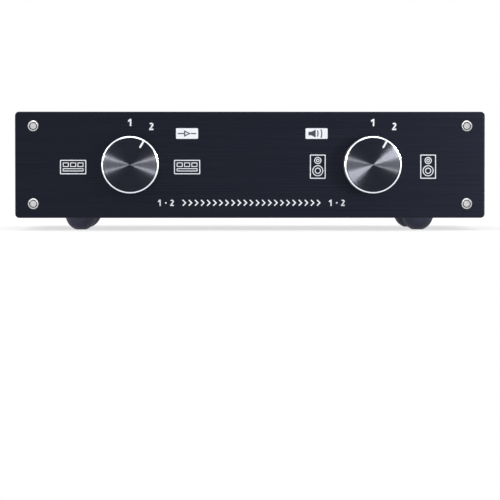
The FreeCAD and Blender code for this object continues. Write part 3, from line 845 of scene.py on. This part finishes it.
def front_screw():
    """A button head with a hexagon socket and a round entry."""
    at = place((0, 0, 0), (0, -1, 0))
    # the round entry, from the point marked 1, and the socket's walls are black: painted shade in the recess
    # of a bright screw
    profile = shank(FRONT_LENGTH) + [(0, 2.75), (0.12, 2.84), (0.75, 2.84), (1.1, 2.72), (1.4, 2.5)]
    profile += [(1.6, 2.25), (1.7, 2.0, 1), (1.3, 1.55), (1.3, 0)]
    bm = bmesh.new()
    lathe(bm, profile, SCREW_SIDES, at)
    screw = finished("front_screw", bm, ("bright_zinc", "black_oxide_and_socket_shade"))
    bm = bmesh.new()
    prism(bm, hexagon(HEX_SOCKET), SOCKET_FLOOR, DRIVE_TOP, at, 1)
    cut(screw, finished("hex", bm))
    return screw


def rear_screw():
    """A pan head with a cross recess."""
    profile = shank(REAR_LENGTH) + [(0, 2.85), (0.15, 2.98), (0.9, 2.98), (1.4, 2.75)]
    profile += [(1.75, 2.3), (1.95, 1.6), (2.0, 0.9), (2.0, 0)]
    bm = bmesh.new()
    lathe(bm, profile, SCREW_SIDES, OUT_OF_REAR)
    screw = finished("rear_screw", bm, ("black_oxide_and_socket_shade", "recess_glint_steel"))
    # the walls of the cross take the lighter steel: painted glints in the recess
    arm = [(1.75, 0.28), (0.55, 0.42), (-0.55, 0.42), (-1.75, 0.28)]
    arm += [(-x, -y) for x, y in arm]
    for turn in (0, math.pi / 2):
        bm = bmesh.new()
        at = OUT_OF_REAR @ Matrix.Rotation(turn + CROSS_TURN, 4, "Z")
        prism(bm, arm, SOCKET_FLOOR, DRIVE_TOP, at, 1)
        cut(screw, finished("cross", bm))
    return screw


fronts = copies("front_screws_turned", front_screw(), screw_spots("front_screws", FRONT_Y))
put(fronts, "case", "silver_screw", "front_screws")
rears = copies("rear_screws_turned", rear_screw(), screw_spots("rear_screws", REAR_Y))
put(rears, "case", "black_screw", "rear_screws")


# ---- feet ----
FOOT_RADIUS = 7.9
FOOT_FLAT = 2.6
FOOT_CORNERS = 16  # the CAD's feet are many-sided, with this many corners
FOOT_BANDS, FOOT_SIDES = 20, 72


def foot():
    """A squashed dome with a flat to stand on."""
    low, high = span("rubber_feet")
    height = high.z - low.z
    squash = height / math.sqrt(1 - (FOOT_FLAT / FOOT_RADIUS) ** 2)
    last = math.acos(FOOT_FLAT / FOOT_RADIUS)
    profile = [(0, 0), (0, FOOT_RADIUS - 0.3), (0.15, FOOT_RADIUS)]
    for k in range(1, FOOT_BANDS + 1):
        angle = last * k / FOOT_BANDS
        profile.append((squash * math.sin(angle), FOOT_RADIUS * math.cos(angle)))
    profile += [(height, FOOT_FLAT * 0.8), (height, 0)]
    bm = bmesh.new()
    lathe(bm, profile, FOOT_SIDES, place((0, 0, 0), (0, 0, -1)))
    return finished("dome", bm, ("foot_rubber",), 40)


def foot_spots():
    low, high = span("rubber_feet")
    reach = FOOT_RADIUS * math.cos(math.pi / FOOT_CORNERS)
    xs = (low.x + reach, high.x - reach)
    ys = (low.y + reach, high.y - reach)
    return [Matrix.Translation(Vector((x, y, high.z)) * MM) for x in xs for y in ys]


put(copies("rubber_feet_domes", foot(), foot_spots(), sharp=40), "case", "foot_rubber", "rubber_feet")


# ---- print: thin layers of ink on the panels ----
INK = 0.03  # thickness of a layer
CORNER_STEPS = 6
CIRCLE_SIDES = 32


def panel_face(way, y):
    """Print's millimetres (x right, y up, from the panel's middle) to world metres, on a face at y."""
    return METRES @ Matrix(((way, 0, 0, 0), (0, 0, -way, y), (0, 1, 0, MID_Z), (0, 0, 0, 1)))


FRONT = panel_face(1, FRONT_Y)
REAR = panel_face(-1, REAR_Y)


def rounded(x, y, width, height, radius):
    """The outline of a rectangle with round corners."""
    points = []
    for k, (sx, sy) in enumerate(((1, 1), (-1, 1), (-1, -1), (1, -1))):
        cx = x + sx * (width / 2 - radius)
        cy = y + sy * (height / 2 - radius)
        for s in range(CORNER_STEPS + 1):
            a = math.pi / 2 * (k + s / CORNER_STEPS)
            points.append((cx + radius * math.cos(a), cy + radius * math.sin(a)))
    return points


def circle(x, y, radius):
    turns = [2 * math.pi * k / CIRCLE_SIDES for k in range(CIRCLE_SIDES)]
    return [(x + radius * math.cos(a), y + radius * math.sin(a)) for a in turns]


def band(bm, outer, inner, low, high, at):
    """A flat outline between two loops of as many points each."""
    levels = ((outer, low), (inner, low), (inner, high), (outer, high))
    loops = [[bm.verts.new(at @ Vector((x, y, z))) for x, y in loop] for loop, z in levels]
    for first, second in zip(loops, loops[1:] + loops[:1]):
        for k in range(len(outer)):
            bm.faces.new([first[k - 1], first[k], second[k], second[k - 1]])


class Print:
    """A layer of one ink on one panel."""

    def __init__(self, name, at, ink, level=0):
        self.name, self.at, self.ink = name, at, ink
        self.low, self.high = level * INK, (level + 1) * INK
        self.bm = bmesh.new()

    def fill(self, points):
        prism(self.bm, points, self.low, self.high, self.at)

    def box(self, x, y, width, height, radius):
        self.fill(rounded(x, y, width, height, radius))

    def frame(self, x, y, width, height, line, radius):
        inner = rounded(x, y, width - 2 * line, height - 2 * line, max(radius - line, 0.02))
        band(self.bm, rounded(x, y, width, height, radius), inner, self.low, self.high, self.at)

    def ring(self, x, y, radius, line):
        band(self.bm, circle(x, y, radius), circle(x, y, radius - line), self.low, self.high, self.at)

    def disc(self, x, y, radius):
        self.fill(circle(x, y, radius))

    def stroke(self, points, width):
        """A line of even width along some points, mitred at its corners."""
        left, right = [], []
        for k, point in enumerate(points):
            here = Vector(point)
            before = (here - Vector(points[k - 1])).normalized() if k else None
            after = (Vector(points[k + 1]) - here).normalized() if k < len(points) - 1 else None
            before, after = before or after, after or before
            along = (before + after).normalized()
            reach = width / 2 / max(along.dot(before), 0.5)
            side = Vector((-along.y, along.x)) * reach
            left.append(here + side)
            right.append(here - side)
        self.fill([tuple(p) for p in left + right[::-1]])

    def one(self, x, y, height, width):
        """The figure 1: a stem with a flag."""
        h = height / 2
        edge = x + 0.16 * height
        reach = edge - width - 0.24 * height
        self.fill(
            [
                (edge, y - h),
                (edge, y + h),
                (edge - 0.8 * width, y + h),
                (reach, y + 0.62 * h),
                (reach, y + 0.62 * h - 1.15 * width),
                (edge - width, y + h - 1.6 * width),
                (edge - width, y - h),
            ]
        )

    def two(self, x, y, height, width):
        """The figure 2: a hook, a slope and a foot."""
        h = height / 2
        half = 0.29 * height
        bend = half - width / 2
        top = y + h - width / 2 - bend
        hook = [math.radians(150 - 190 * k / 12) for k in range(13)]
        points = [(x + bend * math.cos(a), top + bend * math.sin(a)) for a in hook]
        points += [(x - half + 0.75 * width, y - h + 0.9 * width)]
        self.stroke(points, width)
        foot = y - h + width
        self.fill([(x - half, y - h), (x + half, y - h), (x + half, foot), (x - half, foot)])

    def chevron(self, x, y, height, width):
        """An arrow head that points right."""
        h = height / 2
        reach = 0.25 * height
        self.stroke([(x - reach, y - h), (x + reach, y), (x - reach, y + h)], width)

    def done(self, slot):
        """Puts the layer on the case. Its corners are joined only where they coincide."""
        bmesh.ops.remove_doubles(self.bm, verts=self.bm.verts, dist=WELD / 100)
        bmesh.ops.recalc_face_normals(self.bm, faces=self.bm.faces)
        mesh = bpy.data.meshes.new(self.name)
        self.bm.to_mesh(mesh)
        self.bm.free()
        mesh.materials.clear()
        mesh.materials.append(MATERIALS[self.ink])
        put(linked(self.name, mesh), "case", slot)


def amplifier_symbol(layer, x, y, width, line):
    """The circuit sign of an amplifier: a triangle with a lead on each side."""
    h = 0.18 * width
    tip = x + 1.1 * h
    back = x - 0.9 * h
    outer = [(back, y - h), (tip, y), (back, y + h)]
    inner = [(back + line, y - h + 1.7 * line), (tip - 1.9 * line, y), (back + line, y + h - 1.7 * line)]
    band(layer.bm, outer, inner, layer.low, layer.high, layer.at)
    for start, stop in ((x - width / 2, back), (tip, x + width / 2)):
        layer.box((start + stop) / 2, y, stop - start, line, 0.02)


def loudspeaker_symbol(layer, x, y, width, line):
    """A small driver with two waves in front of it."""
    h = 0.21 * width
    left = x - 0.44 * width
    neck = left + 0.15 * width
    mouth = neck + 0.24 * width
    lower = [(left, y - 0.45 * h), (neck, y - 0.45 * h), (mouth, y - h)]
    layer.fill(lower + [(px, 2 * y - py) for px, py in reversed(lower)])
    for radius, half in ((0.37 * width, 26), (0.57 * width, 24)):
        turns = [math.radians(half) * (s / 6 - 1) for s in range(13)]
        layer.stroke([(neck + radius * math.cos(a), y + radius * math.sin(a)) for a in turns], line)


PICTURE_LINE = 0.45
SPEAKER_RINGS = ((3.0, (1.75, 0.85)), (-2.0, (2.7, 1.5)))  # height and radii of each driver in the cabinet


def stereo_picture(layer, x, y):
    """A rack unit seen from the front: three windows over a bar."""
    layer.frame(x, y, 12.8, 7.0, PICTURE_LINE, 0.35)
    for k in (-1, 0, 1):
        layer.frame(x + 3.6 * k, y + 1.15, 2.9, 2.15, 0.37, 0.2)
    layer.frame(x, y - 1.35, 10.2, 1.5, 0.38, 0.3)


def cabinet_picture(layer, x, y):
    """A two-way loudspeaker cabinet seen from the front."""
    layer.frame(x, y, 7.7, 11.8, PICTURE_LINE, 0.35)
    for height, radii in SPEAKER_RINGS:
        for radius in radii:
            layer.ring(x, y + height, radius, 0.41)


def arrow_row(layer, y):
    """A row of arrow heads. At each of its ends stand the figures 1 and 2, with a dot between them."""
    first, last, places = -45.3, 46.4, 31
    height, line, margin = 3.1, 0.6, 1.0
    pitch = (last - first - 2 * margin) / (places - 1)
    for k in range(places):
        x = first + margin + pitch * k
        if k in (0, places - 3):
            layer.one(x, y, height, line)
        elif k in (2, places - 1):
            layer.two(x, y, height, line)
        elif k in (1, places - 2):
            layer.disc(x, y, 0.42)
        elif 3 < k < places - 4:
            layer.chevron(x, y, height - 0.3, line)


# places on the front, from the panel's middle
FIGURE_X = (-58.7, 60.2)  # the figure 1 above each dial
FIGURE_GAP = 10.3  # from there to the figure 2
FIGURE_ONE_Y, FIGURE_TWO_Y = 20.7, 18.8
FIGURE_HEIGHT = 3.6
LABELS = ((-30.9, amplifier_symbol), (32.5, loudspeaker_symbol))
LABEL_Y = 15.3
LABEL_SIZE, LABEL_CORNER = (10.8, 5.2), 0.5
STEREO_X, STEREO_Y = (-86.6, -30.9), -1.1
CABINET_X, CABINET_Y = (33.1, 87.2), -0.9
ARROWS_Y = -18.6


def front_print():
    """Figures, labels, pictures and arrows on the front panel."""
    white = Print("front_print", FRONT, "white_ink")
    marks = Print("front_label_marks", FRONT, "grey_ink", 1)
    for x in FIGURE_X:
        white.one(x, FIGURE_ONE_Y, FIGURE_HEIGHT, 0.75)
        white.two(x + FIGURE_GAP, FIGURE_TWO_Y, FIGURE_HEIGHT, 0.72)
    for x, symbol in LABELS:
        white.box(x, LABEL_Y, *LABEL_SIZE, LABEL_CORNER)
        symbol(marks, x, LABEL_Y, 9.0, 0.55)
    for x in STEREO_X:
        stereo_picture(white, x, STEREO_Y)
    for x in CABINET_X:
        cabinet_picture(white, x, CABINET_Y)
    arrow_row(white, ARROWS_Y)
    white.done("front_anodised")
    marks.done("front_anodised")


# the frame round each group of four posts, and what stands in it
FIELD_WIDTH, FIELD_HEIGHT = 45.8, 43.5
FIELD_LINE, FIELD_CORNER = 0.8, 2.8
AMP_LABEL, SPEAKER_LABEL = (14.2, 6.0), (14.6, 6.2)
SYMBOL_SHIFT, NUMBER_SHIFT = -2.0, 4.6
ARROW_BACK, ARROW_TIP, ARROW_HALF = 1.0, 1.3, 1.4


def rear_print():
    """A field, a label and arrows for each group of posts on the rear panel."""
    pale = Print("rear_fields", REAR, "pale_ink")
    white = Print("rear_print", REAR, "white_ink")
    dark = Print("rear_dark_print", REAR, "dark_ink", 1)
    light = Print("rear_label_marks", REAR, "white_ink", 2)
    for group in GROUPS:
        left = -POSTS[group + "_left_upper"].x
        right = -POSTS[group + "_right_upper"].x
        middle = (left + right) / 2
        white.frame(middle, 0, FIELD_WIDTH, FIELD_HEIGHT, FIELD_LINE, FIELD_CORNER)
        if group.startswith("amp"):
            inside = (FIELD_WIDTH - 2 * FIELD_LINE, FIELD_HEIGHT - 2 * FIELD_LINE)
            pale.box(middle, 0, *inside, FIELD_CORNER - FIELD_LINE)
            dark.box(middle, 0, *AMP_LABEL, LABEL_CORNER)
            amplifier_symbol(light, middle + SYMBOL_SHIFT, 0, 7.8, 0.48)
            figures, arrows = light, dark
        else:
            pale.box(middle, 0, *SPEAKER_LABEL, LABEL_CORNER)
            loudspeaker_symbol(dark, middle + SYMBOL_SHIFT, 0, 8.4, 0.5)
            figures, arrows = dark, white
        figure = figures.one if group.endswith("1") else figures.two
        figure(middle + NUMBER_SHIFT, 0, 3.2, 0.66)
        for x, way in ((left, -1), (right, 1)):
            back = x - way * ARROW_BACK
            arrows.fill([(back, -ARROW_HALF), (x + way * ARROW_TIP, 0), (back, ARROW_HALF)])
    for layer in (pale, white, dark, light):
        layer.done("rear_black")


front_print()
rear_print()


# ---- stage, light and camera ----
FADE_START, FADE_END = 0.12, 0.5  # metres from the middle between which the floor turns plain white
FLOOR_SIZE, FLOOR_DROP = 6.0, 0.05 * MM
WARM = (1.0, 0.93, 0.7)  # the light that the knobs reflect
MIDDLE = (0, 0, 0.03)  # of the object, in metres


def seen_ray(tree):
    """1 for what the camera sees, straight or through a reflection or glass."""
    path = tree.nodes.new("ShaderNodeLightPath")
    output = path.outputs["Is Camera Ray"]
    for kind in ("Is Glossy Ray", "Is Transmission Ray"):
        either = tree.nodes.new("ShaderNodeMath")
        either.operation = "MAXIMUM"
        tree.links.new(output, either.inputs[0])
        tree.links.new(path.outputs[kind], either.inputs[1])
        output = either.outputs[0]
    return output


def floor_paper():
    """White paper that catches the object's shadow and is plain white further out."""
    m = Shader("floor_paper").set(Specular_IOR_Level=0.1)
    grain = m.noise(3.0, detail=2.0)
    m.colour(grain, (0.93, 0.93, 0.935), (0.95, 0.95, 0.955)).rough(grain, 0.8, 0.9)
    distance = m.node("VectorMath", operation="LENGTH")
    m.link(m.coords.outputs["Object"], distance.inputs[0])
    fade = m.node("MapRange", interpolation_type="SMOOTHSTEP")
    fade.inputs["From Min"].default_value = FADE_START
    fade.inputs["From Max"].default_value = FADE_END
    fade.inputs["To Min"].default_value = 0.7
    fade.inputs["To Max"].default_value = 1.0
    m.link(distance.outputs["Value"], fade.inputs["Value"])
    share = m.node("Math", operation="MULTIPLY")
    m.link(fade.outputs["Result"], share.inputs[0])
    m.link(seen_ray(m.tree), share.inputs[1])
    glow = m.node("Emission")
    glow.inputs["Color"].default_value = (1, 1, 1, 1)
    mix = m.node("MixShader")
    m.link(share.outputs[0], mix.inputs[0])
    m.link(m.bsdf.outputs[0], mix.inputs[1])
    m.link(glow.outputs[0], mix.inputs[2])
    m.link(mix.outputs[0], m.tree.nodes["Material Output"].inputs["Surface"])
    return m.material


def ground():
    """A wide floor, a hair below the feet, so that no two faces lie in one plane."""
    bm = bmesh.new()
    bmesh.ops.create_grid(bm, x_segments=8, y_segments=8, size=FLOOR_SIZE)
    mesh = bpy.data.meshes.new("floor")
    bm.to_mesh(mesh)
    bm.free()
    mesh.materials.append(floor_paper())
    floor = linked("floor", mesh)
    floor.location.z = -FLOOR_DROP


def studio():
    """A white world that is brighter to the camera than to the object."""
    world = bpy.data.worlds.new("studio")
    bpy.context.scene.world = world
    world.use_nodes = True
    tree = world.node_tree
    background = tree.nodes["Background"]
    background.inputs["Color"].default_value = (1, 1, 1, 1)
    strength = tree.nodes.new("ShaderNodeMapRange")
    strength.inputs["To Min"].default_value = 0.62
    strength.inputs["To Max"].default_value = 1.0
    tree.links.new(seen_ray(tree), strength.inputs["Value"])
    tree.links.new(strength.outputs["Result"], background.inputs["Strength"])


def lamp(name, spot, target, size, energy, diffuse=True, height=None):
    """A panel of light at a spot that faces a target. Without diffuse it shows in reflections only."""
    data = bpy.data.lights.new(name, "AREA")
    data.shape = "RECTANGLE"
    data.size = size
    data.size_y = height or size
    data.energy = energy
    thing = linked(name, data)
    thing.location = spot
    aim = Vector(target) - Vector(spot)
    thing.rotation_euler = aim.to_track_quat("-Z", "Y").to_euler()
    thing.visible_camera = False
    thing.visible_diffuse = diffuse
    return thing


def lit_group(name, *prefixes):
    """The objects that a lamp is kept for."""
    group = bpy.data.collections.new(name)
    for thing in bpy.data.objects:
        if thing.name.startswith(prefixes):
            group.objects.link(thing)
    return group


bright_metal = lit_group("bright_metal", "amp_knob_turned", "speaker_knob_turned")
panel_only = lit_group("panel_only", "front_panel_edged")
clear_parts = lit_group("clear_parts", *["cap_" + name for name in POSTS], "post_bases_moulded")


def side_light(name, start, end, near, far, energy):
    """A panel of light along Y, from near to far in front of the object, between two (x, z) points."""
    across = Vector((end[0] - start[0], 0, end[1] - start[1]))
    middle = Vector(((start[0] + end[0]) / 2, -(near + far) / 2, (start[1] + end[1]) / 2))
    thing = lamp(name, middle, middle, across.length, energy, diffuse=False, height=far - near)
    x_axis = across.normalized()
    y_axis = Vector((0, 1, 0))
    thing.rotation_euler = Matrix((x_axis, y_axis, x_axis.cross(y_axis))).transposed().to_euler()
    thing.data.color = WARM
    thing.light_linking.receiver_collection = bright_metal


def lights():
    """Soft light from above and all round, and lamps that only the parts they are kept for reflect."""
    lamp("soft_top", (0, -0.3, 1.6), MIDDLE, 1.4, 13)
    lamp("soft_front_left", (-1.2, -1.5, 1.1), MIDDLE, 0.9, 6.5)
    lamp("soft_front_right", (1.2, -1.4, 0.9), MIDDLE, 0.9, 6.5)
    lamp("soft_rear_left", (-1.1, 1.5, 1.1), MIDDLE, 0.9, 9)
    lamp("soft_rear_right", (1.2, 1.5, 0.9), MIDDLE, 0.9, 9)
    # these only show as reflections in the bright metal: they fan out over the spun faces of the knobs
    side_light("streak_left", (-0.905, 0.275), (-0.905, 0.315), 0.35, 1.75, 86)
    side_light("streak_right", (0.905, 0.325), (0.905, 0.285), 0.35, 1.75, 84)
    side_light("fill_left", (-0.6, 0.02), (-0.6, 0.2), 0.3, 1.1, 13)
    side_light("fill_right", (0.6, 0.2), (0.6, 0.02), 0.3, 1.1, 12)
    side_light("streak_near", (0.14, 0.094), (0.376, 0.1485), 0.1, 0.38, 31)
    # a sheen that rises towards the right end of the front panel
    sheen = lamp("panel_sheen", (0.75, -1.4, 0.05), (0.1, 0, 0.03), 0.4, 18, diffuse=False)
    sheen.light_linking.receiver_collection = panel_only
    # a glint down each side of the clear caps
    for name, x in (("glint_left", 1.0), ("glint_right", -1.0)):
        glint = lamp(name, (x, 1.0, 0.2), (0, 0.08, 0.03), 0.3, 42, diffuse=False, height=0.9)
        glint.light_linking.receiver_collection = clear_parts


PICTURE = 500.0  # pixels, the frame that the next two are measured in
SCALE = 2.041  # pixels per millimetre at the front panel
PANEL_ROW = 164.85  # where the panel's middle lies, from the top
EYE_X, EYE_DISTANCE, AIM_X = -22.0, 1400.0, -0.1
SENSOR = 36.0


def camera():
    """The photo's view of the front: level with the panel, which lies in the upper half."""
    data = bpy.data.cameras.new("camera")
    thing = linked("camera", data)
    eye = Vector((EYE_X, FRONT_Y - EYE_DISTANCE, MID_Z))
    aim = Vector((AIM_X, FRONT_Y, MID_Z - (PICTURE / 2 - PANEL_ROW) / SCALE))
    thing.location = eye * MM
    thing.rotation_euler = (aim - eye).to_track_quat("-Z", "Y").to_euler()
    data.sensor_width = SENSOR
    data.lens = SENSOR * (aim - eye).length / (PICTURE / SCALE)
    data.clip_end = 50
    bpy.context.scene.camera = thing


ground()
studio()
lights()
camera()
bpy.context.scene.view_settings.view_transform = "Standard"
